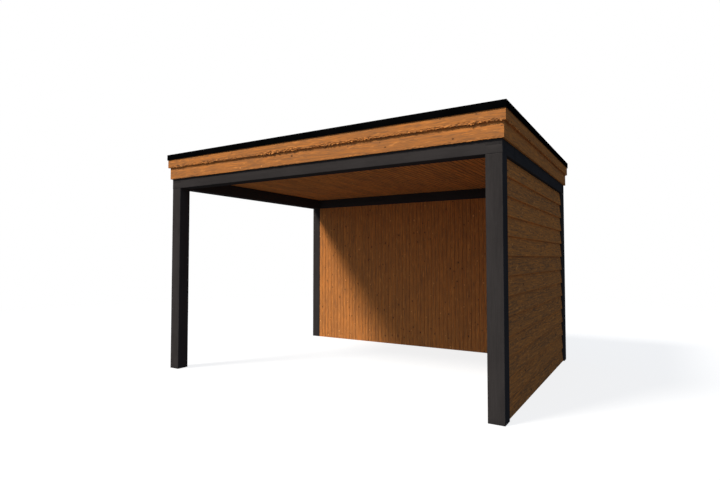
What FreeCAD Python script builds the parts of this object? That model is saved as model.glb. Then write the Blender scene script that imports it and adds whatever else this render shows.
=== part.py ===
import FreeCAD, Part
import math
import os

# Garden veranda with a flat roof, open at the front and on the left.
# Millimetres. The origin is on the ground in the middle of the plan,
# +X points to the right wall, +Y to the back wall and +Z up.

# Plan over the posts' outer faces, and the height under the ring beam
span_x = 4000.0
span_y = 3000.0
clear_height = 2160.0

# Posts and ring beam, planed square timber with eased edges
post_side = 140.0
beam_height = 140.0
arris = 3.0
tenon_side = 50.0
tenon_height = 60.0

# Clearance between boards, at shoulders and round tenons
fit_gap = 0.3

# Tongued and grooved boards of the ceiling and of the walls' inside
board_cover = 120.0
lining_thickness = 20.0
groove_depth = 4.0
tongue_thickness = 5.0
tongue_length = 6.0

# Tapered weatherboards outside: height shown, lap, thick and thin edge,
# and how far the thick edge stands back from the posts' outer faces
clad_pitch = 167.0
clad_lap = 15.0
clad_butt = 28.0
clad_thin = 9.0
clad_recess = 15.0

# Wall framing between weatherboards and lining
stud_width = 45.0
stud_spacing = 600.0
plate_height = 45.0
batten_thickness = 22.0
batten_height = 45.0
batten_rows = 4

# Roof framing, deck and waterproof skin
rim_width = 45.0
rim_height = 170.0
joist_width = 45.0
joist_spacing = 600.0
deck_thickness = 18.0
kerb_width = 45.0
kerb_height = 70.0
skin_thickness = 1.5

# Fascia boards in two steps: height of the upper one, how far the lower one
# reaches up behind it, and how far it covers the ring beam
fascia_thickness = 20.0
fascia_height = 145.0
fascia_overlap = 8.0
fascia_cover = 24.0

# Metal trim round the roof's edge
trim_face = 65.0
trim_wall = 2.0
trim_rise = 12.0
trim_bead = 14.0
trim_slope = 9.0
trim_stand_off = 8.7
trim_flange = 75.0

# Levels and depths that follow from the sizes above
half_x = span_x / 2
half_y = span_y / 2
beam_top = clear_height + beam_height
lap_level = clear_height + beam_height / 2
joist_bottom = beam_top + lining_thickness
rim_top = beam_top + rim_height
deck_top = rim_top + deck_thickness
kerb_top = deck_top + kerb_height
skin_top = kerb_top + skin_thickness
fascia_bottom = beam_top - fascia_cover
fascia_step = kerb_top - fascia_height
packer_bottom = fascia_step + fascia_overlap
clad_back = clad_recess + clad_butt
batten_outer = post_side - lining_thickness - batten_thickness
vector = FreeCAD.Vector


def block(x_from, x_to, y_from, y_to, z_from, z_to):
    """Rectangular timber between three pairs of planes."""
    corner = vector(min(x_from, x_to), min(y_from, y_to), min(z_from, z_to))
    return Part.makeBox(abs(x_to - x_from), abs(y_to - y_from), abs(z_to - z_from), corner)


def prism(points, travel):
    """Straight solid with the outline points, drawn out along travel."""
    return Part.Face(Part.makePolygon(points + points[:1])).extrude(travel)


def planed(timber, axis):
    """Timber with its long edges, those along axis, eased."""
    long_edges = [edge for edge in timber.Edges if abs(edge.tangentAt(0).dot(axis)) > 0.99]
    return timber.makeChamfer(arris, long_edges)


def save(name, *solids):
    shape = solids[0] if len(solids) == 1 else Part.makeCompound(list(solids))
    shape.exportStep("parts/" + name + ".step")


# Sides of the plan. A place on one is given by its distance along the side from
# the middle, its distance out from the posts' outer faces, and its height.
half_run = {"front": half_x, "back": half_x, "left": half_y, "right": half_y}


def on_side(side, run, out, z):
    if side == "front":
        return vector(run, -half_y - out, z)
    if side == "back":
        return vector(run, half_y + out, z)
    if side == "left":
        return vector(-half_x - out, run, z)
    return vector(half_x + out, run, z)


def side_prism(side, outline, run_from, run_to):
    """Length with one outline of (out, z) points, laid along a side."""
    points = [on_side(side, run_from, out, z) for out, z in outline]
    return prism(points, on_side(side, run_to, 0, 0) - on_side(side, run_from, 0, 0))


def side_block(side, run_from, run_to, out_from, out_to, z_from, z_to):
    outline = [(out_from, z_from), (out_to, z_from), (out_to, z_to), (out_from, z_to)]
    return side_prism(side, outline, run_from, run_to)


def mitred(side, outline):
    """Length along a side with its ends cut at 45 degrees at the plan's corners."""
    reach = max(abs(out) for out, z in outline)
    low = min(z for out, z in outline)
    high = max(z for out, z in outline)
    half = half_run[side] - fit_gap
    corners = [(-half + reach, -reach), (half - reach, -reach), (half + reach, reach), (-half - reach, reach)]
    wedge = prism([on_side(side, run, out, low) for run, out in corners], vector(0, 0, high - low))
    return side_prism(side, outline, -half - reach, half + reach).common(wedge)


# Posts with a stub tenon that locks the lapped beams on top
def tenon(x_side, y_side, clearance):
    x_middle = x_side * (half_x - post_side / 2)
    y_middle = y_side * (half_y - post_side / 2)
    half = tenon_side / 2 + clearance
    top = clear_height + tenon_height + clearance
    return block(x_middle - half, x_middle + half, y_middle - half, y_middle + half, clear_height, top)


def post(x_side, y_side):
    x_outer = x_side * half_x
    y_outer = y_side * half_y
    shaft = block(x_outer, x_outer - x_side * post_side, y_outer, y_outer - y_side * post_side, 0, clear_height)
    return planed(shaft, vector(0, 0, 1)).fuse(tenon(x_side, y_side, 0)).removeSplitter()


# Ring beam: the front and back beams keep their lower half over the posts,
# and the left and right beams keep their upper half and lie on them
def lower_beam(y_side):
    y_outer = y_side * half_y
    beam = block(-half_x, half_x, y_outer, y_outer - y_side * post_side, clear_height, beam_top)
    beam = planed(beam, vector(1, 0, 0))
    for x_side in (-1, 1):
        shoulder = x_side * (half_x - post_side - fit_gap)
        lap = block(shoulder, x_side * half_x, y_outer, y_outer - y_side * post_side, lap_level, beam_top)
        beam = beam.cut(lap).cut(tenon(x_side, y_side, fit_gap))
    return beam


def upper_beam(x_side):
    x_outer = x_side * half_x
    beam = block(x_outer, x_outer - x_side * post_side, -half_y, half_y, clear_height, beam_top)
    beam = planed(beam, vector(0, 1, 0))
    for y_side in (-1, 1):
        shoulder = y_side * (half_y - post_side - fit_gap)
        lap = block(x_outer, x_outer - x_side * post_side, shoulder, y_side * half_y, clear_height, lap_level)
        beam = beam.cut(lap)
    return beam


# Boards with a tongue, a groove and eased face edges that meet in a V
def board_outline():
    """Outline of (across, thickness) points, from the back to the face."""
    edge = board_cover - fit_gap
    tip = edge + tongue_length
    tongue_low = (lining_thickness - tongue_thickness) / 2
    tongue_high = tongue_low + tongue_thickness
    slot_low = tongue_low - fit_gap
    slot_high = tongue_high + fit_gap
    chamfer = lining_thickness - groove_depth
    middle = board_cover / 2
    return [
        (0, 0), (edge, 0),
        (edge, tongue_low), (tip, tongue_low), (tip, tongue_high), (edge, tongue_high),
        (edge, chamfer), (edge - groove_depth, lining_thickness),
        (middle + groove_depth, lining_thickness), (middle, chamfer), (middle - groove_depth, lining_thickness),
        (groove_depth, lining_thickness), (0, chamfer),
        (0, slot_high), (tongue_length, slot_high), (tongue_length, slot_low), (0, slot_low),
    ]


def board_row(place, width, travel, room):
    """Boards side by side over a width, the two outer ones ripped to the same width.
    place turns (across, thickness) into a point, and room is the block they fill."""
    count = math.ceil(width / board_cover)
    ripped = (width - (count - 2) * board_cover) / 2
    boards = []
    for index in range(count):
        start = ripped + (index - 1) * board_cover
        board = prism([place(start + across, depth) for across, depth in board_outline()], travel)
        if index in (0, count - 1):
            board = board.common(room).Solids[0]
        boards.append(board)
    return boards


def ceiling_boards():
    """Boards from front to back on the ring beam, inside the rim joists."""
    x_edge = half_x - rim_width - fit_gap
    y_edge = half_y - rim_width - fit_gap
    room = block(-x_edge, x_edge, -y_edge, y_edge, beam_top, joist_bottom)
    return board_row(
        lambda across, depth: vector(across - x_edge, -y_edge, joist_bottom - depth),
        2 * x_edge, vector(0, 2 * y_edge, 0), room)


# Walls between the posts, built from the weatherboards inwards
def wall_half(side):
    return half_run[side] - post_side - fit_gap


def wall_cladding(side):
    """Weatherboards, each one lapping over the thin edge of the board below."""
    slope = (clad_butt - clad_thin) / clad_pitch
    tip = clad_thin - slope * clad_lap
    rebate = clad_thin + fit_gap
    half = wall_half(side)
    room = side_block(side, -half, half, -clad_back, 0, 0, clear_height)
    boards = []
    for course in range(math.ceil(clear_height / clad_pitch)):
        low = course * clad_pitch
        lap = low + clad_lap + fit_gap
        high = low + clad_pitch + clad_lap
        outline = [(rebate, low), (clad_butt, low), (tip, high), (0, high), (0, lap), (rebate, lap)]
        outline = [(thick - clad_back, z) for thick, z in outline]
        boards.append(side_prism(side, outline, -half, half).common(room).Solids[0])
    return boards


def wall_studs(side):
    half = wall_half(side)
    first = -half + stud_width / 2
    bays = math.ceil(-2 * first / stud_spacing)
    centres = [first - index * 2 * first / bays for index in range(bays + 1)]
    return [
        side_block(side, centre - stud_width / 2, centre + stud_width / 2, -batten_outer, -clad_back,
                   plate_height, clear_height - plate_height)
        for centre in centres
    ]


def wall_plates(side):
    half = wall_half(side)
    return [
        side_block(side, -half, half, -batten_outer, -clad_back, low, low + plate_height)
        for low in (0, clear_height - plate_height)
    ]


def wall_battens(side):
    half = wall_half(side)
    step = (clear_height - batten_height) / (batten_rows - 1)
    lining_back = post_side - lining_thickness
    return [
        side_block(side, -half, half, -lining_back, -batten_outer, row * step, row * step + batten_height)
        for row in range(batten_rows)
    ]


def wall_lining(side):
    """Upright boards inside, flush with the posts' inner faces."""
    half = wall_half(side)
    lining_back = post_side - lining_thickness
    room = side_block(side, -half, half, -post_side, -lining_back, 0, clear_height)
    return board_row(
        lambda across, depth: on_side(side, across - half, -lining_back - depth, 0),
        2 * half, vector(0, 0, clear_height), room)


# Roof frame, deck, kerb and skin
def ring_of_four(width, low, high):
    """Timbers round the plan's edge, the front and back ones running through."""
    inner = half_y - width
    return {
        "front": side_block("front", -half_x, half_x, -width, 0, low, high),
        "back": side_block("back", -half_x, half_x, -width, 0, low, high),
        "left": side_block("left", -inner, inner, -width, 0, low, high),
        "right": side_block("right", -inner, inner, -width, 0, low, high),
    }


def roof_joists():
    inner_x = half_x - rim_width
    inner_y = half_y - rim_width
    bays = math.ceil(2 * inner_y / joist_spacing)
    centres = [-inner_y + index * 2 * inner_y / bays for index in range(1, bays)]
    return [
        block(-inner_x, inner_x, centre - joist_width / 2, centre + joist_width / 2, joist_bottom, rim_top)
        for centre in centres
    ]


def roof_skin():
    """Sheet that lies on the deck, climbs the kerbs and covers their tops."""
    x_inner = half_x - kerb_width
    y_inner = half_y - kerb_width
    overhang = 2 * fascia_thickness
    x_outer = half_x + overhang
    y_outer = half_y + overhang
    tray = block(-x_inner, x_inner, -y_inner, y_inner, deck_top, skin_top)
    flaps = block(-x_outer, x_outer, -y_outer, y_outer, kerb_top, skin_top)
    x_hollow = x_inner - skin_thickness
    y_hollow = y_inner - skin_thickness
    hollow = block(-x_hollow, x_hollow, -y_hollow, y_hollow, deck_top + skin_thickness, skin_top)
    return tray.fuse(flaps).cut(hollow).removeSplitter()


# Fascia in two steps, and the metal trim over it
def rectangle(out_from, out_to, low, high):
    return [(out_from, low), (out_to, low), (out_to, high), (out_from, high)]


def fascia_lower(side):
    return mitred(side, rectangle(0, fascia_thickness, fascia_bottom, packer_bottom))


def fascia_packer(side):
    return mitred(side, rectangle(0, fascia_thickness, packer_bottom, kerb_top))


def fascia_upper(side):
    return mitred(side, rectangle(fascia_thickness, 2 * fascia_thickness, fascia_step, kerb_top))


def roof_trim(side):
    """Open section: drip face, raised bead and a flange that lies on the skin."""
    face = 2 * fascia_thickness + trim_stand_off
    bead = face - trim_bead
    foot = bead - trim_slope
    top = skin_top + trim_rise
    flange_top = skin_top + trim_wall
    outline = [
        (face, top - trim_face), (face, top), (bead, top), (foot, flange_top),
        (face - trim_flange, flange_top), (face - trim_flange, skin_top),
        (foot + trim_wall, skin_top), (bead + trim_wall, top - trim_wall),
        (face - trim_wall, top - trim_wall), (face - trim_wall, top - trim_face),
    ]
    return mitred(side, outline)


# Each piece goes to its own file
for x_name, x_side in (("left", -1), ("right", 1)):
    for y_name, y_side in (("front", -1), ("back", 1)):
        save("post_" + y_name + "_" + x_name, post(x_side, y_side))

save("beam_front", lower_beam(-1))
save("beam_back", lower_beam(1))
save("beam_left", upper_beam(-1))
save("beam_right", upper_beam(1))

for wall in ("back", "right"):
    save(wall + "_wall_cladding", *wall_cladding(wall))
    save(wall + "_wall_studs", *wall_studs(wall))
    save(wall + "_wall_plates", *wall_plates(wall))
    save(wall + "_wall_battens", *wall_battens(wall))
    save(wall + "_wall_lining", *wall_lining(wall))

save("ceiling_boards", *ceiling_boards())
save("roof_joists", *roof_joists())
save("roof_deck", block(-half_x, half_x, -half_y, half_y, rim_top, deck_top))
save("roof_membrane", roof_skin())

rims = ring_of_four(rim_width, beam_top, rim_top)
kerbs = ring_of_four(kerb_width, deck_top, kerb_top)
for side in half_run:
    save("rim_joist_" + side, rims[side])
    save("roof_kerb_" + side, kerbs[side])
    save("fascia_lower_" + side, fascia_lower(side))
    save("fascia_upper_" + side, fascia_upper(side))
    save("roof_trim_" + side, roof_trim(side))

save("fascia_packers", *[fascia_packer(side) for side in half_run])
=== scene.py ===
import math

import bmesh
import bpy
import numpy as np
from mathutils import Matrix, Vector, noise


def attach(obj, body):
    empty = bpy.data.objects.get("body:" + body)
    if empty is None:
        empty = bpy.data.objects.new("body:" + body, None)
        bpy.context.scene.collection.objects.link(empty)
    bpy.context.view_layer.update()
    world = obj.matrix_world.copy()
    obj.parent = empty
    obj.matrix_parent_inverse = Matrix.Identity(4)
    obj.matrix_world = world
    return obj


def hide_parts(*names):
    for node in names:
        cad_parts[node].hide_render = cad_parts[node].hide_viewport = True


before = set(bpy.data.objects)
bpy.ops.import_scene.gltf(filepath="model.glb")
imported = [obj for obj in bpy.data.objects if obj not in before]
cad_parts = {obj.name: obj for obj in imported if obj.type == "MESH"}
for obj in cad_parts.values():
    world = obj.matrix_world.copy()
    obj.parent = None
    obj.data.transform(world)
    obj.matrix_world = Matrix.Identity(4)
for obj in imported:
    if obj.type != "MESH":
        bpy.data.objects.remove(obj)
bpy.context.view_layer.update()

# Lengths are in metres and angles in degrees, unless a name says otherwise
SIDES = ("front", "back", "left", "right")
CORNERS = ("front_left", "front_right", "back_left", "back_right")
WALLS = ("back", "right")

# The camera of the photograph, and its focal length in pixels
CAMERA_PLACE = (3.038, -5.4075, 1.3141)
CAMERA_YAW = 31.204
CAMERA_PITCH = 2.144
FOCAL_PIXELS = 489.84
PHOTO_PIXELS = 720
SENSOR_MM = 36.0

# Direction in which the sun's light travels, and how wide and strong the sun is
SUN_TRAVEL = (0.588, 0.87, -1.0)
SUN_WIDTH = 14.0
SUN_STRENGTH = 3.98
SUN_COLOUR = (1.0, 0.955, 0.88)

# Light of the sky in front of the veranda and behind it
SKY_FRONT = (0.47, 0.55, 0.67)
SKY_BACK = (0.055, 0.137, 0.275)

# Floor: its paleness and its own glow, as the camera sees them and as they light the veranda
FLOOR_PALE = 0.2
FLOOR_GLOW = 0.84
FLOOR_BOUNCE = 0.04
FLOOR_LIGHT = (0.145, 0.157, 0.178)

# Floor: half its width, its level, and the distances between which it fades to white
FLOOR_HALF = 60.0
FLOOR_LEVEL = -0.001
FLOOR_FADE = (5.5, 11.0)

# Edges that turn by more than this stay sharp, on boards, on the roof sheet and on small pieces
BOARD_CREASE = 34
SHEET_CREASE = 40
SMALL_CREASE = 50

# Points nearer to each other than WELD are one, and faces that turn by less than FLAT_TURN are one
WELD = 1e-5
FLAT_TURN = 1

# Nearer than this a point lies on a board's face, on a face or fold of the roof sheet, and on a cut
ON_BOARD = 0.001
ON_SHEET = 0.0002
ON_CUT = 1e-6

# Rounded edges: steps round each, the most of a side that one takes up, and the distance to the
# point that keeps the face beside it flat, which is also at most a share of the face
ROUNDING_STEPS = 2
ROUNDING_SHARE = 0.4
FLAT_GUARD = 0.004
FLAT_GUARD_SHARE = 0.25

# How boards are swept: the radius of their edges, the spacing of points across a face and the
# spacing of stations along the board. Faces are never as wide as WHOLE, so it leaves them undivided.
WHOLE = 1
CLADDING_SWEEP = dict(radius=0.002, spacing=WHOLE, station=0.12)
LINING_SWEEP = dict(radius=0.0008, spacing=0.03, station=0.24)
CEILING_SWEEP = dict(radius=0.0008, spacing=0.02, station=0.35)
FASCIA_SWEEP = dict(radius=0.0012, spacing=WHOLE, station=0.005)
TRIM_SWEEP = dict(radius=0.0008, spacing=0.05, station=0.25)

# Posts and beams: edges that turn by more than TIMBER_SHARP are rounded, the faces are cut across at
# every TIMBER_STATION, and the wood is worn within TIMBER_WORN of the timber's long edges
TIMBER_SHARP = 20
TIMBER_ROUNDING = 0.0006
TIMBER_STATION = 0.05
TIMBER_WORN = 0.004

# Wear and painted light go from -1 deep in a groove through 0 on a face and 1 on an edge to 2 on a fresh
# splinter. A groove's stain is painted dark, also standing in for its shade, from GROOVE_START below the
# face and darkest at GROOVE_DEEP.
WEAR_AND_LIGHT_RANGE = (-1, 2)
GROOVE_START = 0.0012
GROOVE_DEEP = 0.003

# Darker stain at the arrises beside the grooves, which also paints their shade, from 0 for none to 1 for
# the darkest
LINING_ARRIS = 0.0
CEILING_ARRIS = 0.7

# Heights above a board's lower edge at which its outer face gets points. A stretch that rises less
# than LEAST_RISE gets none, nor does the share ROW_MARGIN at either end of a stretch.
CLADDING_ROWS = (0.01, 0.05, 0.09, 0.12, 0.140, 0.147, 0.155, 0.163, 0.172)
TORN_ROWS = (0.003, 0.006, 0.009, 0.012, 0.016, 0.020, 0.025, 0.030, 0.036, 0.042)
LEAST_RISE = 0.02
ROW_MARGIN = 0.002

# Height that a weatherboard shows. Light is painted on the strip of its face where the next board's
# shade falls, and on its underside, where shade falls too. Below: how far under the next board's edge
# the strip starts, how far above that it is full, and how much painted light the strip and the underside
# get.
CLADDING_SHOWS = 0.167
LAP_LIGHT_START = 0.027
LAP_LIGHT_BLEND = 0.012
LAP_PAINTED_LIGHT = 0.7
UNDERSIDE_PAINTED_LIGHT = 0.5

# Torn lower edges of the fascia boards: how deep bites go, how far fibres hang, how far splinters
# stand out, and the wear that they get for each metre that they stand out
TEARS = dict(
    upper=dict(bite=0.004, hang=0.013, splinter=0.006),
    lower=dict(bite=0.003, hang=0.003, splinter=0.002))
WEAR_PER_METRE = 530.0

# Distances along a board over which the tears change, and how far they are drawn from its middle
STRENGTH_STEP = 0.17
BROAD_STEP = 0.05
TEAR_STEP = 0.010
SPLINTER_STEP = 0.015
LONGEST_HALF = 3

# Tears: how far bites and splinters reach up the face and fibres in from it, and the distance from a
# board's ends over which the tears grow
BITE_REACH = 0.02
SPLINTER_REACH = 0.023
HANG_REACH = 0.003
TEAR_END = 0.03

# Nails in the weatherboards: their height above a board's lower edge, radius and rise
NAIL_HEIGHT = 0.035
NAIL_RADIUS = 0.0032
NAIL_RISE = 0.0005

# Screws in the trim's flange: their spacing, the distances from the trim's ends and from the flange's
# edge, and their radius and rise
SCREW_SPACING = 0.3
SCREW_END = 0.15
SCREW_INSET = 0.02
SCREW_RADIUS = 0.0045
SCREW_RISE = 0.0012

# Heads of nails and screws: their sides, how wide the top is and how deep they are sunk
HEAD_SIDES = 12
HEAD_TOP = 0.72
HEAD_SUNK = 0.0006

# Roof sheet: where it was folded when it was packed, across the roof and along it, and how far each
# fold mark reaches to its sides and how high it rises
SHEET_FOLDS = ((-1.41, -0.47, 0.47, 1.41), (-0.76, 0.31))
FOLD_REACH = 0.008
FOLD_RISE = 0.0022

# Roof sheet: how far its bends reach, the spacing of the cuts that let it ripple, and how far from the
# kerbs the first lies and at least the last
SHEET_BEND = 0.004
SHEET_CUTS = 0.083
FIRST_CUT = 0.05
LAST_CUT = 0.02

# Ripples: their height and waves in a metre, how far from the kerbs they start and over what distance
# they grow
RIPPLE_RISE = 0.0035
BROAD_RIPPLES = 2.3
FINE_RIPPLES = 7.0
RIPPLE_START = 0.01
RIPPLE_BLEND = 0.15

# Folded corners of the sheet: width, clearance at top and bottom and from the corner, how far they
# are sunk in the sheet and stand out of it, and their rounding
CORNER_WIDTH = 0.085
CORNER_CLEAR = 0.003
CORNER_INSET = 0.002
CORNER_SUNK = 0.0005
CORNER_STANDS = 0.0028
CORNER_ROUNDING = 0.0009

# Where a board may have lain in its log: along, across and into the board
LOG_LOW = (-40, -0.02, 0.02)
LOG_HIGH = (40, 0.02, 0.09)

# Seeds of the random draws. A torn edge draws from TEAR_DRAWS seeds, the others from one for a node.
CLADDING_SEED = 10
LINING_SEED = 20
CEILING_SEED = 30
FASCIA_SEED = 40
TEAR_SEED = 50
TEAR_DRAWS = 20
POST_SEED = 60
BEAM_SEED = 70
TRIM_SEED = 80

# Wood: waves in a metre along and across the grain
STREAKS = (3.6, 85.0)
DASHES = (10.0, 62.0)
FIBRES = (18.0, 560.0)
PATCHES = (2.3, 9.0)
RING_WAVES = (5.0, 22.0)

# Knots: places for one in a metre along and across, how drawn out they are, and their sizes
KNOTS_ALONG = 2.9
KNOTS_ACROSS = 9.0
KNOT_STRETCH = 1.4
KNOT_RADII = (0.0035, 0.0085)

# Year rings: how many in a metre, how many turns the pith makes in a metre, how far apart boards lie
# on its way, how deep it lies, how far it wanders, and how far waves and knots push the rings aside
RINGS_PER_METRE = 210.0
PITH_TURNS = 0.55
BOARDS_APART = 37.0
PITH_DEPTH = 0.03
PITH_ACROSS = (-0.05, 0.05)
PITH_INTO = (-0.03, 0.04)
RING_WAVE = 0.004
KNOT_PUSH = 0.006

# Shares of patches and fibres in the wood's tone
PATCH_SHARE = 0.16
FIBRE_SHARE = 0.2

# How strongly the colour changes at knots, on rubbed edges and on splinters; the rubbed and splinter
# changes also paint the light under weatherboard laps
DEAD_HALO_MARK = 0.35
DEAD_CORE_MARK = 0.9
SOUND_CORE_MARK = 0.85
SOUND_RIM_MARK = 0.45
RUBBED_MARK = 0.35
SPLINTER_MARK = 0.7

# How far the roughness goes to either side of its middle, lower where the tone is paler
ROUGHNESS_RANGE = 0.08


# Solids of the CAD frame, read back as outlines that are swept along a straight run
def welded(node):
    """The node's mesh with its flat faces whole again."""
    mesh = bmesh.new()
    mesh.from_mesh(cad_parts[node].data)
    bmesh.ops.remove_doubles(mesh, verts=mesh.verts, dist=WELD)
    flat_turn = math.radians(FLAT_TURN)
    bmesh.ops.dissolve_limit(mesh, angle_limit=flat_turn, verts=mesh.verts, edges=mesh.edges)
    return mesh


def solids(mesh):
    """Faces of each separate solid of a mesh."""
    left = set(mesh.faces)
    found = []
    while left:
        stack = [left.pop()]
        group = []
        while stack:
            face = stack.pop()
            group.append(face)
            for edge in face.edges:
                for other in edge.link_faces:
                    if other in left:
                        left.remove(other)
                        stack.append(other)
        found.append(group)
    return found


def faces_middle(faces):
    """Mean place of the faces' corners, to a tenth of a millimetre."""
    return np.round(np.mean([v.co for face in faces for v in face.verts], axis=0), 4)


class Length:
    """A straight length of one outline, between two flat ends that may be mitred."""

    def __init__(self, faces):
        points = np.array([v.co for face in faces for v in face.verts])
        self.low = points.min(0)
        self.high = points.max(0)
        self.axis = int(np.argmax(self.high - self.low))
        self.across = [i for i in range(3) if i != self.axis]
        caps = [face for face in faces if abs(face.normal[self.axis]) > 0.5]
        caps.sort(key=lambda face: face.calc_center_median()[self.axis])
        self.outline = np.array([[v.co[i] for i in self.across] for v in caps[0].verts])
        self.ends = [self.plane(cap) for cap in (caps[0], caps[-1])]

    def plane(self, cap):
        """Place along the run as a constant and a slope over the outline's two directions."""
        normal = cap.normal / cap.normal[self.axis]
        start = cap.verts[0].co
        return start.dot(normal), np.array([-normal[i] for i in self.across])

    def along(self, outline, share):
        """Places along the run for outline points, at a share of the way from end to end."""
        first, last = [constant + outline @ slope for constant, slope in self.ends]
        return first + share[:, None] * (last - first)


def rounded(outline, radius, spacing):
    """Outline with its corners rounded and its long edges divided.
    Returns the points, and for each one whether it lies on a rounded corner."""
    points = []
    wear_and_painted_light = []
    for i, corner in enumerate(outline):
        before, after = outline[i - 1], outline[(i + 1) % len(outline)]
        to_before, to_after = before - corner, after - corner
        side_before, side_after = np.linalg.norm(to_before), np.linalg.norm(to_after)
        reach = min(radius, ROUNDING_SHARE * side_before, ROUNDING_SHARE * side_after)
        start = corner + to_before / side_before * reach
        end = corner + to_after / side_after * reach
        for step in range(ROUNDING_STEPS + 1):
            share = step / ROUNDING_STEPS
            bend = (1 - share) ** 2 * start + 2 * share * (1 - share) * corner + share ** 2 * end
            points.append(bend)
            wear_and_painted_light.append(1.0)
        far = after - to_after / side_after * reach
        gap = np.linalg.norm(far - end)
        divisions = int(gap // spacing)
        if divisions > 1:
            guard = min(FLAT_GUARD / gap, FLAT_GUARD_SHARE)
            for share in (guard, *[k / divisions for k in range(1, divisions)], 1 - guard):
                points.append(end + share * (far - end))
                wear_and_painted_light.append(0.0)
    return np.array(points), np.array(wear_and_painted_light)


def outer_face(length):
    """Direction across an upright board that points out of the building, its face and its sign."""
    sideways = length.across[0]
    face = max(length.low[sideways], length.high[sideways], key=abs)
    return sideways, face, np.sign(face)


def divided(outline, wear_and_painted_light, length, rows):
    """Outline of an upright board with points added to its outer face at the given heights."""
    upright = length.across.index(2)
    heights = length.low[2] + np.array(rows)
    sideways, _, sign = outer_face(length)
    middle = (length.low[sideways] + length.high[sideways]) / 2
    points = []
    wear = []
    for i, start in enumerate(outline):
        end = outline[(i + 1) % len(outline)]
        points.append(start)
        wear.append(wear_and_painted_light[i])
        rise = end[upright] - start[upright]
        if abs(rise) < LEAST_RISE or sign * ((start[0] + end[0]) / 2 - middle) < ON_BOARD:
            continue
        shares = (heights - start[upright]) / rise
        for share in sorted(share for share in shares if ROW_MARGIN < share < 1 - ROW_MARGIN):
            points.append(start + share * (end - start))
            wear.append(0.0)
    return np.array(points), np.array(wear)


def tube_faces(stations, columns):
    """Faces round the stations of a swept outline, and the two that close its ends."""
    index = np.arange(stations * columns).reshape(stations, columns)
    faces = []
    for near, far in zip(index[:-1], index[1:]):
        for column in range(columns):
            after = (column + 1) % columns
            faces.append((near[column], far[column], far[after], near[after]))
    faces.append(tuple(index[0]))
    faces.append(tuple(index[-1][::-1]))
    return faces


def swept(length, radius, spacing, station, relief=None, grooves=None, rows=()):
    """Vertices, faces, wear and painted light, and places in the wood for one length.
    relief(length, along, outline) gives offsets and added wear and painted light for every station and
    outline point, and rows are heights above the lowest edge at which the outline gets more points.
    Where the outline has grooves, they say how dark the stain is at their arrises, from 0 to 1; that
    darkness and the dark stain deep in the grooves also paint their shade."""
    outline, wear_and_painted_light = rounded(length.outline, radius, spacing)
    if rows:
        outline, wear_and_painted_light = divided(outline, wear_and_painted_light, length, rows)
    run = length.high[length.axis] - length.low[length.axis]
    along = length.along(outline, np.linspace(0, 1, max(2, round(run / station) + 1)))
    places = np.zeros((*along.shape, 3))
    places[:, :, length.axis] = along
    places[:, :, length.across[0]] = outline[:, 0]
    places[:, :, length.across[1]] = outline[:, 1]
    middle = (length.low + length.high)[length.across] / 2
    size = (length.high - length.low)[length.across]
    wide, thick = (0, 1) if size[0] > size[1] else (1, 0)
    wood_places = np.zeros((*along.shape, 3))
    wood_places[:, :, 0] = along
    wood_places[:, :, 1] = outline[:, wide] - middle[wide]
    wood_places[:, :, 2] = outline[:, thick] - middle[thick]
    # Stain darker deep in the grooves and at their arrises, which also paints their shade
    if grooves is not None:
        depth = size[thick] / 2 - abs(outline[:, thick] - middle[thick])
        wear_and_painted_light = np.where(depth > GROOVE_START, -np.clip(depth / GROOVE_DEEP, 0, 1), -grooves * wear_and_painted_light)
    wear_and_painted_light = np.tile(wear_and_painted_light, (len(along), 1))
    if relief is not None:
        # A relief adds offsets, wear and, under weatherboard laps, painted light
        offsets, wear = relief(length, along, outline)
        places += offsets
        wear_and_painted_light = np.clip(wear_and_painted_light + wear, *WEAR_AND_LIGHT_RANGE)
    return places.reshape(-1, 3), tube_faces(*along.shape), wear_and_painted_light.ravel(), wood_places.reshape(-1, 3)


# Shown pieces, with the marks that the wood's material reads from them
def place_in_log(random_source, wood_places):
    """Moves a board to its own place in the log, some of them turned round, so that no two have the
    same grain."""
    shift = random_source.uniform(LOG_LOW, LOG_HIGH)
    if random_source.random() < 0.5:
        wood_places = wood_places * (-1, 1, 1)
    return wood_places + shift


def put_attributes(mesh, wood_places, wear_and_painted_light, shade):
    """Writes each point's place in the log, its wear and painted light, and its board's shade of stain on
    a mesh.
    """
    mesh.attributes.new("grain", "FLOAT_VECTOR", "POINT").data.foreach_set("vector", wood_places.ravel())
    mesh.attributes.new("wear_and_painted_light", "FLOAT", "POINT").data.foreach_set("value", wear_and_painted_light)
    mesh.attributes.new("shade", "FLOAT", "POINT").data.foreach_set("value", shade)


def outward(mesh):
    """Turns every face's front to the outside."""
    turned = bmesh.new()
    turned.from_mesh(mesh)
    bmesh.ops.recalc_face_normals(turned, faces=turned.faces)
    turned.to_mesh(mesh)
    turned.free()


def written(name, mesh):
    """Mesh data made from an edited mesh, which is freed."""
    data = bpy.data.meshes.new(name)
    mesh.to_mesh(data)
    mesh.free()
    return data


def finish_piece(name, mesh, crease, material, nodes=()):
    """A mesh shown as a piece, smooth but for its creases, which stands for its nodes."""
    mesh.shade_smooth()
    mesh.set_sharp_from_angle(angle=math.radians(crease))
    mesh.materials.append(material)
    piece = bpy.data.objects.new(name, mesh)
    bpy.context.scene.collection.objects.link(piece)
    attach(piece, "root")
    if nodes:
        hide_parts(*nodes)


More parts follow.
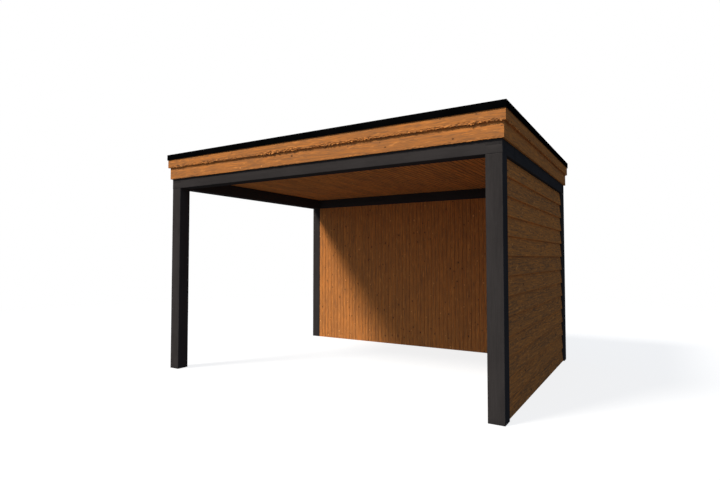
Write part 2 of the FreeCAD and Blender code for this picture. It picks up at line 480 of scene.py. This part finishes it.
def boards(node, material, slot, seed, **sweep):
    """Every board of a node, rounded and swept again, each with its own grain, wear, painted light and
    shade of stain.
    """
    mesh = welded(node)
    groups = sorted(solids(mesh), key=lambda faces: tuple(faces_middle(faces)))
    parts = [swept(Length(faces), **sweep) for faces in groups]
    mesh.free()
    random_source = np.random.default_rng(seed)
    places, faces, wear_and_painted_light, wood_places, shade = [], [], [], [], []
    start = 0
    for part_places, part_faces, part_worn, part_wood in parts:
        places.append(part_places)
        faces.extend([tuple(start + i for i in face) for face in part_faces])
        wear_and_painted_light.append(part_worn)
        wood_places.append(place_in_log(random_source, part_wood))
        shade.append(np.full(len(part_places), random_source.random()))
        start += len(part_places)
    shown = bpy.data.meshes.new("shown_" + node)
    shown.from_pydata(np.concatenate(places).tolist(), [], faces)
    put_attributes(shown, np.concatenate(wood_places), np.concatenate(wear_and_painted_light), np.concatenate(shade))
    outward(shown)
    finish_piece("shown_" + node, shown, BOARD_CREASE, material, [node])


def soften(mesh, edges, reach, steps=2):
    """Rounds edges of a mesh."""
    bmesh.ops.bevel(
        mesh, geom=edges, offset=reach, segments=steps, profile=0.5, affect="EDGES", clamp_overlap=True)


def cut_across(mesh, axis, place):
    """Divides the faces of a mesh at a place along an axis."""
    normal = Vector([float(i == axis) for i in range(3)])
    everything = [*mesh.verts, *mesh.edges, *mesh.faces]
    bmesh.ops.bisect_plane(
        mesh, geom=everything, dist=ON_CUT, plane_co=normal * float(place), plane_no=normal)


def timber(node, material, seed):
    """A post or beam with all its cuts: edges rounded, and its length divided."""
    mesh = welded(node)
    least_turn = math.radians(TIMBER_SHARP)
    sharp = [edge for edge in mesh.edges if edge.is_manifold and edge.calc_face_angle() > least_turn]
    soften(mesh, sharp, TIMBER_ROUNDING)
    points = np.array([v.co for v in mesh.verts])
    low, high = points.min(0), points.max(0)
    axis = int(np.argmax(high - low))
    for distance in np.arange(TIMBER_STATION, high[axis] - low[axis], TIMBER_STATION):
        cut_across(mesh, axis, low[axis] + distance)
    shown = written("shown_" + node, mesh)
    points = np.array([v.co for v in shown.vertices])
    across = [i for i in range(3) if i != axis]
    middle = (low + high) / 2
    wood_places = np.stack([points[:, axis], *[points[:, i] - middle[i] for i in across]], axis=1)
    corner_distance = np.maximum(*[(high - low)[i] / 2 - abs(points[:, i] - middle[i]) for i in across])
    wear_and_painted_light = np.where(corner_distance < TIMBER_WORN, 1.0, 0.0)
    random_source = np.random.default_rng(seed)
    wood_places = place_in_log(random_source, wood_places)
    put_attributes(shown, wood_places, wear_and_painted_light, np.full(len(points), random_source.random()))
    finish_piece("shown_" + node, shown, BOARD_CREASE, material, [node])


# Nails and screws
def heads(name, places, facing, radius, rise, material):
    """Low domed heads at the places, each one sunk a little into what it holds."""
    mesh = bmesh.new()
    facing = Vector(facing)
    turn = Vector((0, 0, 1)).rotation_difference(facing).to_matrix()
    for place in places:
        head = bmesh.ops.create_cone(
            mesh, cap_ends=True, segments=HEAD_SIDES, radius1=radius, radius2=radius * HEAD_TOP,
            depth=rise + HEAD_SUNK)
        bmesh.ops.rotate(mesh, matrix=turn, verts=head["verts"])
        centre = Vector(place) + facing * (rise / 2 - HEAD_SUNK / 2)
        bmesh.ops.translate(mesh, vec=centre, verts=head["verts"])
    finish_piece(name, written(name, mesh), SMALL_CREASE, material)


def cladding_nails(wall):
    """One place at each stud on every weatherboard, and the direction that the nails face."""
    studs = welded(wall + "_wall_studs")
    cladding = welded(wall + "_wall_cladding")
    lengths = [Length(faces) for faces in solids(cladding)]
    run, (sideways, _, sign) = lengths[0].axis, outer_face(lengths[0])
    columns = [faces_middle(faces)[run] for faces in solids(studs)]
    studs.free()
    cladding.free()
    places = []
    for length in lengths:
        butt = max(length.outline, key=lambda point: sign * point[0])
        tip = max(length.outline, key=lambda point: (round(point[1], 4), sign * point[0]))
        share = NAIL_HEIGHT / (tip[1] - butt[1])
        for column in columns:
            place = np.zeros(3)
            place[run] = column
            place[sideways] = butt[0] + share * (tip[0] - butt[0])
            place[2] = butt[1] + NAIL_HEIGHT
            places.append(place)
    facing = [0.0, 0.0, 0.0]
    facing[sideways] = sign
    return places, facing


def flange_screws(side):
    """Evenly spaced places along the trim's flange."""
    trim = welded("roof_trim_" + side)
    length = Length(list(trim.faces))
    trim.free()
    sideways, _, sign = outer_face(length)
    inner = length.outline[np.argmin(sign * length.outline[:, 0])]
    top = max(point[1] for point in length.outline if abs(point[0] - inner[0]) < ON_BOARD)
    half = length.high[length.axis] - SCREW_END
    places = []
    for along in np.linspace(-half, half, round(2 * half / SCREW_SPACING) + 1):
        place = np.zeros(3)
        place[length.axis] = along
        place[sideways] = inner[0] + sign * SCREW_INSET
        place[2] = top
        places.append(place)
    return places


# Roof sheet
def ripple(vertex, hollow):
    """Lifts a point of the sheet's floor, most of all on a fold and not at all beside the kerbs."""
    from_edge = min(hollow[i] - abs(vertex.co[i]) for i in (0, 1))
    calm = min(max(from_edge - RIPPLE_START, 0) / RIPPLE_BLEND, 1)
    broad = 0.5 * noise.noise(vertex.co * BROAD_RIPPLES)
    wave = 0.5 + broad + 0.25 * noise.noise(vertex.co * FINE_RIPPLES)
    fold = any(abs(vertex.co[i] - place) < ON_SHEET for i in (0, 1) for place in SHEET_FOLDS[i])
    vertex.co[2] += calm * (RIPPLE_RISE * max(wave, 0) + FOLD_RISE * fold)


def skin():
    """The sheet with soft bends, fold marks and slight ripples where it lies on the deck.
    Returns the half sizes of the hollow between its upstands, its floor's level and its top."""
    mesh = welded("roof_membrane")
    points = np.array([v.co for v in mesh.verts])
    levels = sorted(set(np.round(points[:, 2], 4)))
    floor, top = levels[1], levels[-1]
    inner = [float(max(abs(points[points[:, 2] < top - ON_SHEET][:, i]))) for i in (0, 1)]
    thickness = floor - levels[0]
    hollow = [half - thickness for half in inner]

    def on_hollow(vertex):
        beside = any(abs(abs(vertex.co[i]) - hollow[i]) < ON_SHEET for i in (0, 1))
        return beside and vertex.co[2] > floor - ON_SHEET

    bends = [edge for edge in mesh.edges if all(on_hollow(v) for v in edge.verts)]
    soften(mesh, bends, SHEET_BEND, steps=3)
    for i in (0, 1):
        cuts = np.arange(-hollow[i] + FIRST_CUT, hollow[i] - LAST_CUT, SHEET_CUTS)
        folds = [fold + side for fold in SHEET_FOLDS[i] for side in (-FOLD_REACH, 0, FOLD_REACH)]
        for place in (*cuts, *folds):
            cut_across(mesh, i, place)
    for vertex in mesh.verts:
        if abs(vertex.co[2] - floor) < ON_SHEET:
            ripple(vertex, hollow)
    data = written("shown_roof_membrane", mesh)
    finish_piece("shown_roof_membrane", data, SHEET_CREASE, rubber, ["roof_membrane"])
    return hollow, floor, top


def corner_folds(hollow, floor, top):
    """Spare sheet at each inner corner, folded flat against the kerb."""
    mesh = bmesh.new()
    low, high = floor + CORNER_CLEAR, top - CORNER_CLEAR
    for x_side in (-1, 1):
        for y_side in (-1, 1):
            wall = y_side * (hollow[1] + CORNER_SUNK)
            face = y_side * (hollow[1] - CORNER_STANDS)
            corner = x_side * (hollow[0] - CORNER_INSET)
            far = x_side * (hollow[0] - CORNER_WIDTH)
            outline = [(corner, low), (corner, high), (far, high)]
            back = [mesh.verts.new((x, wall, z)) for x, z in outline]
            front = [mesh.verts.new((x, face, z)) for x, z in outline]
            mesh.faces.new(back)
            mesh.faces.new(front[::-1])
            for i in range(3):
                after = (i + 1) % 3
                mesh.faces.new((back[i], front[i], front[after], back[after]))
    bmesh.ops.recalc_face_normals(mesh, faces=mesh.faces)
    soften(mesh, mesh.edges[:], CORNER_ROUNDING)
    name = "membrane_corner_folds"
    finish_piece(name, written(name, mesh), SMALL_CREASE, rubber)


# Torn lower edges of the sawn fascia boards
def ragged(along, step, seed):
    """Values from -1 to 1 that change direction about every step."""
    turns = np.arange(-LONGEST_HALF, LONGEST_HALF, step)
    return np.interp(along, turns, np.random.default_rng(seed).uniform(-1, 1, len(turns)))


def torn_edge(seed, bite, hang, splinter):
    """Relief that bites into a board's lower edge, lets torn fibres hang below it and lifts
    splinters out of the face above it. Splinters also wear the stain off."""
    def relief(length, along, outline):
        sideways, face, sign = outer_face(length)
        height = outline[:, length.across.index(2)] - length.low[2]
        inset = abs(outline[:, 0] - face)
        calm = np.clip(np.minimum(along - along.min(), along.max() - along) / TEAR_END, 0, 1)
        amount = calm * np.clip(0.75 + 0.5 * ragged(along, STRENGTH_STEP, seed), 0.3, 1)
        broad = 0.4 * ragged(along, BROAD_STEP, seed + 2)
        bitten = np.clip(0.1 + 0.9 * ragged(along, TEAR_STEP, seed + 1) + broad, 0, 1)
        bitten = bite * bitten * np.clip(1 - height / BITE_REACH, 0, 1)
        outermost = np.clip(1 - inset / HANG_REACH, 0, 1) * (height < HANG_REACH)
        hanging = np.clip(0.1 + 1.6 * ragged(along, TEAR_STEP, seed + TEAR_DRAWS - 1), 0, 1)
        columns = [ragged(along[:, 0], SPLINTER_STEP, seed + 3 + i // 2) for i in range(len(outline))]
        near_edge = np.clip(1.4 - height / SPLINTER_REACH, 0, 1)
        torn = np.stack(columns, axis=1) * near_edge * (inset < ON_BOARD)
        offsets = np.zeros((*along.shape, 3))
        offsets[:, :, 2] = amount * (bitten - hang * hanging * outermost)
        offsets[:, :, sideways] = sign * splinter * torn * amount
        return offsets, WEAR_PER_METRE * splinter * torn * amount
    return relief


# Painted light on a weatherboard, where the next board's shade falls on its face and on its underside
def painted_lap_light(length, along, outline):
    """Painted light that lightens a board's underside, and its face just below the edge of the board
    above, where shade falls.
    """
    height = outline[:, length.across.index(2)] - length.low[2]
    lap_light_share = np.clip((height - CLADDING_SHOWS + LAP_LIGHT_START) / LAP_LIGHT_BLEND, 0, 1)
    return 0.0, LAP_PAINTED_LIGHT * lap_light_share + UNDERSIDE_PAINTED_LIGHT * (height < ON_BOARD)


# Materials
class Shader:
    """The nodes of a material or world, with short calls for the ones used here."""

    def __init__(self, owner):
        owner.use_nodes = True
        self.owner = owner
        self.nodes = owner.node_tree.nodes
        self.links = owner.node_tree.links
        self.nodes.clear()

    def node(self, kind, inputs=None, **settings):
        made = self.nodes.new("ShaderNode" + kind)
        for key, value in settings.items():
            setattr(made, key, value)
        for key, value in (inputs or {}).items():
            if isinstance(value, bpy.types.NodeSocket):
                self.links.new(value, made.inputs[key])
            else:
                made.inputs[key].default_value = value
        return made

    def attribute(self, name, output="Fac"):
        return self.node("Attribute", attribute_name=name).outputs[output]

    def place(self):
        """Each point's place on its piece."""
        return self.node("TexCoord").outputs["Object"]

    def math(self, operation, *values):
        return self.node("Math", dict(enumerate(values)), operation=operation).outputs[0]

    def plus(self, first, second):
        return self.math("ADD", first, second)

    def minus(self, first, second):
        return self.math("SUBTRACT", first, second)

    def times(self, first, second):
        return self.math("MULTIPLY", first, second)

    def vector(self, operation, *values):
        return self.node("VectorMath", dict(enumerate(values)), operation=operation).outputs[0]

    def length(self, vector):
        return self.node("VectorMath", {0: vector}, operation="LENGTH").outputs["Value"]

    def join(self, x, y, z):
        return self.node("CombineXYZ", {0: x, 1: y, 2: z}).outputs[0]

    def split(self, vector):
        return self.node("SeparateXYZ", {0: vector}).outputs

    def span(self, value, low, high, to_low=0.0, to_high=1.0, kind="LINEAR"):
        """Value between low and high, spread over the range from to_low to to_high."""
        inputs = {0: value, 1: low, 2: high, 3: to_low, 4: to_high}
        return self.node("MapRange", inputs, interpolation_type=kind).outputs[0]

    def eased(self, *values):
        """The same, but slow at both ends of the range."""
        return self.span(*values, kind="SMOOTHSTEP")

    def mix(self, share, first, second):
        made = self.node("Mix", {0: share}, data_type="RGBA")
        for index, value in ((6, first), (7, second)):
            if isinstance(value, bpy.types.NodeSocket):
                self.links.new(value, made.inputs[index])
            else:
                made.inputs[index].default_value = (*value, 1)
        return made.outputs[2]

    def noise(self, place, scale=1.0, detail=2.0, roughness=0.5, output="Fac"):
        inputs = {"Vector": place, "Scale": scale, "Detail": detail, "Roughness": roughness}
        return self.node("TexNoise", inputs).outputs[output]

    def bump(self, height, distance):
        return self.node("Bump", {"Height": height, "Distance": distance}).outputs[0]

    def surface(self, inputs):
        made = self.node("BsdfPrincipled", inputs)
        self.links.new(made.outputs[0], self.node("OutputMaterial").inputs[0])
        return self.owner


class Grain(Shader):
    """The nodes of a wood, with each point's place in its log: along, across and into the board."""

    def __init__(self, name):
        super().__init__(bpy.data.materials.new(name))
        self.shade = self.attribute("shade")
        self.wear_and_painted_light = self.attribute("wear_and_painted_light")
        self.along, self.across, self.into = self.split(self.attribute("grain", "Vector"))

    def drawn_out(self, waves, detail=2.0, roughness=0.5):
        """Noise that is drawn out along the grain, for waves in a metre along and across it."""
        times_along, times_across = waves
        place = self.join(
            self.times(self.along, times_along), self.times(self.across, times_across),
            self.times(self.into, times_across))
        return self.noise(place, detail=detail, roughness=roughness)


def knots(s, share):
    """Knots at scattered points: a share of them dead and dark, and half that share sound and pale.
    Returns which points are dead, the halo round both kinds, and the dead cores, the sound cores
    and the sound rims."""
    flat = s.join(s.times(s.along, KNOTS_ALONG), s.times(s.across, KNOTS_ACROSS), 0.0)
    scattered = s.node("TexVoronoi", {"Vector": flat, "Scale": 1.0}, voronoi_dimensions="3D")
    apart = s.vector("SUBTRACT", flat, scattered.outputs["Position"])
    apart = s.vector("MULTIPLY", apart, (1 / KNOTS_ALONG / KNOT_STRETCH, 1 / KNOTS_ACROSS, 0.0))
    away = s.length(apart)
    luck, size, _ = s.split(scattered.outputs["Color"])
    reach = s.math("DIVIDE", away, s.span(size, 0, 1, *KNOT_RADII))
    dead = s.math("LESS_THAN", luck, share)
    sound = s.math("GREATER_THAN", luck, 1 - 0.5 * share)
    core = s.eased(reach, 0.75, 1.2, 1, 0)
    halo = s.times(s.eased(reach, 1, 3.5, 1, 0), s.plus(dead, sound))
    dead_core = s.times(core, dead)
    sound_core = s.times(s.eased(reach, 0.2, 2.2, 1, 0), sound)
    sound_rim = s.times(s.eased(reach, 1.5, 2.0), s.eased(reach, 2.1, 3.0, 1, 0))
    return dead, halo, dead_core, sound_core, s.times(sound_rim, sound)


def year_rings(s, halo):
    """Year rings round a pith that wanders along the log, pushed aside beside knots."""
    way = s.join(s.times(s.along, PITH_TURNS), s.times(s.shade, BOARDS_APART), 0.0)
    wander = s.noise(way, detail=1.0, output="Color")
    wander_across, wander_into, _ = s.split(wander)
    ring_across = s.plus(s.across, s.span(wander_across, 0.2, 0.8, *PITH_ACROSS))
    ring_into = s.plus(s.plus(s.into, PITH_DEPTH), s.span(wander_into, 0.2, 0.8, *PITH_INTO))
    radius = s.length(s.join(ring_across, ring_into, 0.0))
    radius = s.plus(radius, s.span(s.drawn_out(RING_WAVES), 0, 1, -RING_WAVE, RING_WAVE))
    radius = s.plus(radius, s.times(halo, KNOT_PUSH))
    phase = s.math("FRACT", s.times(radius, RINGS_PER_METRE))
    return s.times(s.eased(phase, 0.1, 0.85), s.span(phase, 0.85, 1.0, 1, 0))


def wood(name, pale, light, middle, dark, knot, knot_share, streaks, ring_share, board_range, dashes,
         groove_stain_and_shade, roughness, bump_depth):
    """Sawn softwood under a stain that lies unevenly.
    Streaks, ring_share and board_range say how much the streaks, the rings and the board itself make
    of the tone, dashes how strongly short dashes show, and the argument after it how dark the stain in
    the grooves is, which also paints their shade."""
    s = Grain(name)
    dead, halo, dead_core, sound_core, sound_rim = knots(s, knot_share)
    ring = year_rings(s, halo)

    # Streaks of stain, short dashes, fine fibres and broad patches
    streak = s.drawn_out(STREAKS, detail=4.0, roughness=0.62)
    dash = s.drawn_out(DASHES, detail=3.0, roughness=0.6)
    fibre = s.drawn_out(FIBRES, roughness=0.6)
    patch = s.drawn_out(PATCHES, detail=3.0)

    # The tone, from dark to light, and the colours that it gives, from dark through middle to light
    tone = s.times(s.span(streak, 0.31, 0.69), streaks)
    tone = s.plus(tone, s.times(s.minus(1.0, ring), ring_share))
    tone = s.plus(tone, s.times(s.span(patch, 0.3, 0.7), PATCH_SHARE))
    tone = s.plus(tone, s.times(s.span(fibre, 0.3, 0.7), FIBRE_SHARE))
    tone = s.plus(tone, s.span(s.shade, 0, 1, -board_range, board_range))
    total = streaks + ring_share + PATCH_SHARE + FIBRE_SHARE
    colour = s.mix(s.span(tone, 0.14 * total, 0.5 * total), dark, middle)
    colour = s.mix(s.span(tone, 0.5 * total, 0.9 * total), colour, light)
    colour = s.mix(s.span(dash, 0.57, 0.70, 0, dashes), colour, dark)
    colour = s.mix(s.span(dash, 0.42, 0.30, 0, 0.6 * dashes), colour, pale)
    colour = s.mix(s.times(s.times(halo, dead), DEAD_HALO_MARK), colour, dark)
    colour = s.mix(s.times(sound_core, SOUND_CORE_MARK), colour, pale)
    colour = s.mix(s.times(sound_rim, SOUND_RIM_MARK), colour, dark)
    colour = s.mix(s.times(dead_core, DEAD_CORE_MARK), colour, knot)

    # Stain gathers in the grooves, and that darkness also paints their shade; it is rubbed thin on the
    # edges and gone from splinters, and the same paler colours paint light under each weatherboard's lap.
    colour = s.mix(s.span(s.wear_and_painted_light, -1, -0.1, groove_stain_and_shade, 0), colour, knot)
    rub = s.times(s.times(s.span(s.wear_and_painted_light, 0.2, 1), s.span(patch, 0.45, 0.65)), RUBBED_MARK)
    colour = s.mix(rub, colour, light)
    colour = s.mix(s.span(s.wear_and_painted_light, 1.0, 1.8, 0, SPLINTER_MARK), colour, pale)

    # Fibres, streaks and rings stand up and dead knots lie lower
    relief = s.plus(s.times(fibre, 0.5), s.times(streak, 0.7))
    relief = s.plus(relief, s.times(ring, 0.35))
    relief = s.minus(relief, s.times(dead_core, 0.6))
    rough = s.span(tone, 0, total, roughness + ROUGHNESS_RANGE, roughness - ROUGHNESS_RANGE)
    return s.surface({
        "Base Color": colour, "Roughness": rough, "Specular IOR Level": 0.0,
        "Normal": s.bump(relief, bump_depth)})


def raw_wood():
    """Plain construction timber and deck boards, hidden inside the roof and walls."""
    s = Shader(bpy.data.materials.new("raw_wood"))
    dark, light = (0.45, 0.31, 0.17), (0.68, 0.52, 0.33)
    streak = s.noise(s.vector("MULTIPLY", s.place(), (3.0, 20.0, 30.0)), detail=4.0)
    colour = s.mix(s.span(streak, 0.3, 0.7), dark, light)
    return s.surface({"Base Color": colour, "Roughness": 0.8, "Normal": s.bump(streak, 0.001)})


def coated_metal():
    """Black powder coat with its fine orange peel, paler on upward faces: a painted top light, patchy with
    dust.
    """
    s = Shader(bpy.data.materials.new("edge_trim"))
    clean, dull, dusty = (0.0012, 0.0012, 0.0013), (0.003, 0.003, 0.0032), (0.021, 0.021, 0.022)
    place = s.place()
    peel = s.noise(place, scale=900.0)
    dust = s.noise(place, scale=4.0, detail=4.0)
    colour = s.mix(s.span(dust, 0.3, 0.8), clean, dull)
    # Upward faces painted paler toward the dusty colour, a painted top light that is patchy with the dust
    upward = s.split(s.node("NewGeometry").outputs["Normal"])[2]
    painted_top_light = s.times(s.span(upward, 0.35, 0.98), s.span(dust, 0.2, 0.7, 0.5, 1))
    colour = s.mix(painted_top_light, colour, dusty)
    return s.surface({
        "Base Color": colour, "Roughness": s.span(dust, 0.2, 0.8, 0.5, 0.65), "Specular IOR Level": 0.0,
        "Normal": s.bump(peel, 0.0002)})


def nail_metal():
    """Nail heads coloured like the stain, rubbed by the hammer."""
    s = Shader(bpy.data.materials.new("nail_head"))
    covered, rubbed = (0.16, 0.075, 0.035), (0.30, 0.19, 0.11)
    rub = s.noise(s.place(), scale=310.0)
    colour = s.mix(s.span(rub, 0.4, 0.65), covered, rubbed)
    return s.surface({"Base Color": colour, "Roughness": 0.5, "Metallic": 0.3, "Specular IOR Level": 0.1})


def roof_rubber():
    """Roofing rubber, mottled and speckled with talc dust."""
    s = Shader(bpy.data.materials.new("roof_membrane"))
    clean, dusty, talc = (0.024, 0.024, 0.026), (0.046, 0.045, 0.044), (0.09, 0.09, 0.088)
    place = s.place()
    dust = s.noise(place, scale=2.2, detail=6.0, roughness=0.6)
    speckle = s.noise(place, scale=160.0)
    colour = s.mix(s.span(dust, 0.35, 0.75), clean, dusty)
    colour = s.mix(s.span(speckle, 0.55, 0.8, 0, 0.25), colour, talc)
    height = s.plus(s.times(speckle, 0.2), dust)
    return s.surface({
        "Base Color": colour, "Roughness": s.span(dust, 0.3, 0.8, 0.68, 0.82), "Specular IOR Level": 0.25,
        "Normal": s.bump(height, 0.002)})


# The stain on the fascia, the same a little changed on the walls and the ceiling, and the black of
# the posts and beams
STAIN = dict(
    pale=(0.80, 0.31, 0.082), light=(0.60, 0.208, 0.047), middle=(0.42, 0.158, 0.046),
    dark=(0.25, 0.113, 0.048), knot=(0.060, 0.028, 0.014),
    streaks=0.62, groove_stain_and_shade=0.66, roughness=0.68, bump_depth=0.0006)
CLADDING = dict(STAIN, light=(0.64, 0.219, 0.047), dark=(0.19, 0.097, 0.046))
CEILING = dict(
    STAIN, pale=(0.96, 0.41, 0.115), light=(0.80, 0.273, 0.058), middle=(0.530, 0.195, 0.054),
    dark=(0.245, 0.107, 0.044))
LINING = dict(
    CEILING, light=(0.73, 0.253, 0.057), middle=(0.520, 0.191, 0.053), dark=(0.305, 0.125, 0.046),
    groove_stain_and_shade=0.3)
BLACK = dict(
    pale=(0.052, 0.046, 0.044), light=(0.045, 0.039, 0.037), middle=(0.0375, 0.0325, 0.0305),
    dark=(0.031, 0.027, 0.026), knot=(0.022, 0.019, 0.018),
    streaks=0.3, groove_stain_and_shade=0.66, roughness=0.7, bump_depth=0.0005)

stained = wood("stained_wood", knot_share=0.3, ring_share=0.2, board_range=0.05, dashes=0.75, **STAIN)
clad = wood("stained_cladding", knot_share=0.4, ring_share=0.2, board_range=0.07, dashes=1.0, **CLADDING)
lined = wood("stained_lining", knot_share=0.6, ring_share=0.1, board_range=0.06, dashes=0.75, **LINING)
overhead = wood("stained_ceiling", knot_share=0.6, ring_share=0.1, board_range=0.08, dashes=0.5, **CEILING)
black = wood("black_wood", knot_share=0.2, ring_share=0.08, board_range=0.03, dashes=0.4, **BLACK)
raw = raw_wood()
metal = coated_metal()
rubber = roof_rubber()
nail = nail_metal()

# Weatherboards, with painted light under each lap, and the boards on the walls' inside
for number, wall in enumerate(WALLS):
    boards(wall + "_wall_cladding", clad, "stained_wood", CLADDING_SEED + number,
           relief=painted_lap_light, rows=CLADDING_ROWS, **CLADDING_SWEEP)
    boards(wall + "_wall_lining", lined, "stained_wood", LINING_SEED + number,
           grooves=LINING_ARRIS, **LINING_SWEEP)

# Ceiling
boards("ceiling_boards", overhead, "stained_wood", CEILING_SEED, grooves=CEILING_ARRIS, **CEILING_SWEEP)

# Fascia
for number, side in enumerate(SIDES):
    for lower, (level, tear) in enumerate(TEARS.items()):
        edge = torn_edge(TEAR_SEED + TEAR_DRAWS * (2 * number + lower), **tear)
        seed = FASCIA_SEED + number + len(SIDES) * lower
        boards("fascia_" + level + "_" + side, stained, "stained_wood", seed,
               relief=edge, rows=TORN_ROWS, **FASCIA_SWEEP)

# Posts and ring beam
for number, corner in enumerate(CORNERS):
    timber("post_" + corner, black, POST_SEED + number)
for number, side in enumerate(SIDES):
    timber("beam_" + side, black, BEAM_SEED + number)

# Edge trim
for number, side in enumerate(SIDES):
    boards("roof_trim_" + side, metal, "edge_trim", TRIM_SEED + number, **TRIM_SWEEP)

# Roof sheet, and the screws in the trim's flange
corner_folds(*skin())
for side in SIDES:
    name = "roof_trim_screws_" + side
    heads(name, flange_screws(side), (0, 0, 1), SCREW_RADIUS, SCREW_RISE, metal)

# Nails in the weatherboards
for wall in WALLS:
    places, facing = cladding_nails(wall)
    heads(wall + "_wall_nails", places, facing, NAIL_RADIUS, NAIL_RISE, nail)

# Pieces that keep their CAD shape
hidden_timber = ["roof_joists", "roof_deck", "fascia_packers"]
hidden_timber += ["rim_joist_" + side for side in SIDES]
hidden_timber += ["roof_kerb_" + side for side in SIDES]
hidden_timber += [wall + "_wall_" + part for wall in WALLS for part in ("studs", "plates", "battens")]
for node in hidden_timber:
    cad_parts[node].data.materials.clear()
    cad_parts[node].data.materials.append(raw)


# Camera, floor and light
def add_object(name, data):
    added = bpy.data.objects.new(name, data)
    bpy.context.scene.collection.objects.link(added)
    return added


def add_camera():
    lens = bpy.data.cameras.new("camera")
    lens.sensor_width = SENSOR_MM
    lens.lens = SENSOR_MM * FOCAL_PIXELS / PHOTO_PIXELS
    camera = add_object("camera", lens)
    camera.location = CAMERA_PLACE
    camera.rotation_euler = (math.radians(90 + CAMERA_PITCH), 0, math.radians(CAMERA_YAW))
    bpy.context.scene.camera = camera


def seen_directly(s):
    """1 for rays that should meet the white background: camera, mirror and glass rays."""
    rays = s.node("LightPath").outputs
    either = s.math("MAXIMUM", rays["Is Camera Ray"], rays["Is Glossy Ray"])
    return s.math("MAXIMUM", either, rays["Is Transmission Ray"])


def floor_material():
    """Pale floor that keeps the shadow near the veranda and fades to white further off."""
    s = Shader(bpy.data.materials.new("floor"))
    fade = s.eased(s.length(s.place()), *FLOOR_FADE)
    seen = seen_directly(s)
    faded = s.times(fade, seen)
    pale = s.times(s.span(seen, 0, 1, FLOOR_BOUNCE, FLOOR_PALE), s.minus(1.0, faded))
    shown = s.span(fade, 0, 1, FLOOR_GLOW, 1.0)
    glow = s.mix(seen, FLOOR_LIGHT, s.join(shown, shown, shown))
    diffuse = s.node("BsdfDiffuse", {"Color": s.join(pale, pale, pale)})
    light = s.node("Emission", {"Color": glow})
    both = s.node("AddShader", {0: diffuse.outputs[0], 1: light.outputs[0]})
    s.links.new(both.outputs[0], s.node("OutputMaterial").inputs[0])
    return s.owner


def add_floor():
    mesh = bpy.data.meshes.new("floor")
    corners = [(x * FLOOR_HALF, y * FLOOR_HALF, 0) for x, y in ((-1, -1), (1, -1), (1, 1), (-1, 1))]
    mesh.from_pydata(corners, [], [(0, 1, 2, 3)])
    mesh.materials.append(floor_material())
    floor = add_object("floor", mesh)
    floor.location.z = FLOOR_LEVEL


def add_sun():
    lamp = bpy.data.lights.new("sun", "SUN")
    lamp.energy = SUN_STRENGTH
    lamp.color = SUN_COLOUR
    lamp.angle = math.radians(SUN_WIDTH)
    sun = add_object("sun", lamp)
    sun.rotation_euler = Vector(SUN_TRAVEL).to_track_quat("-Z", "Y").to_euler()


def add_world():
    """White where it is seen, and as light a weak sky that is brightest in front."""
    world = bpy.data.worlds.new("world")
    s = Shader(world)
    ahead = s.split(s.node("TexCoord").outputs["Generated"])[1]
    sky = s.mix(s.eased(ahead, 0.3, -1), SKY_BACK, SKY_FRONT)
    colour = s.mix(seen_directly(s), sky, (1, 1, 1))
    background = s.node("Background", {"Color": colour})
    s.links.new(background.outputs[0], s.node("OutputWorld").inputs[0])
    bpy.context.scene.world = world


add_camera()
add_floor()
add_sun()
add_world()
bpy.context.scene.view_settings.view_transform = "Standard"
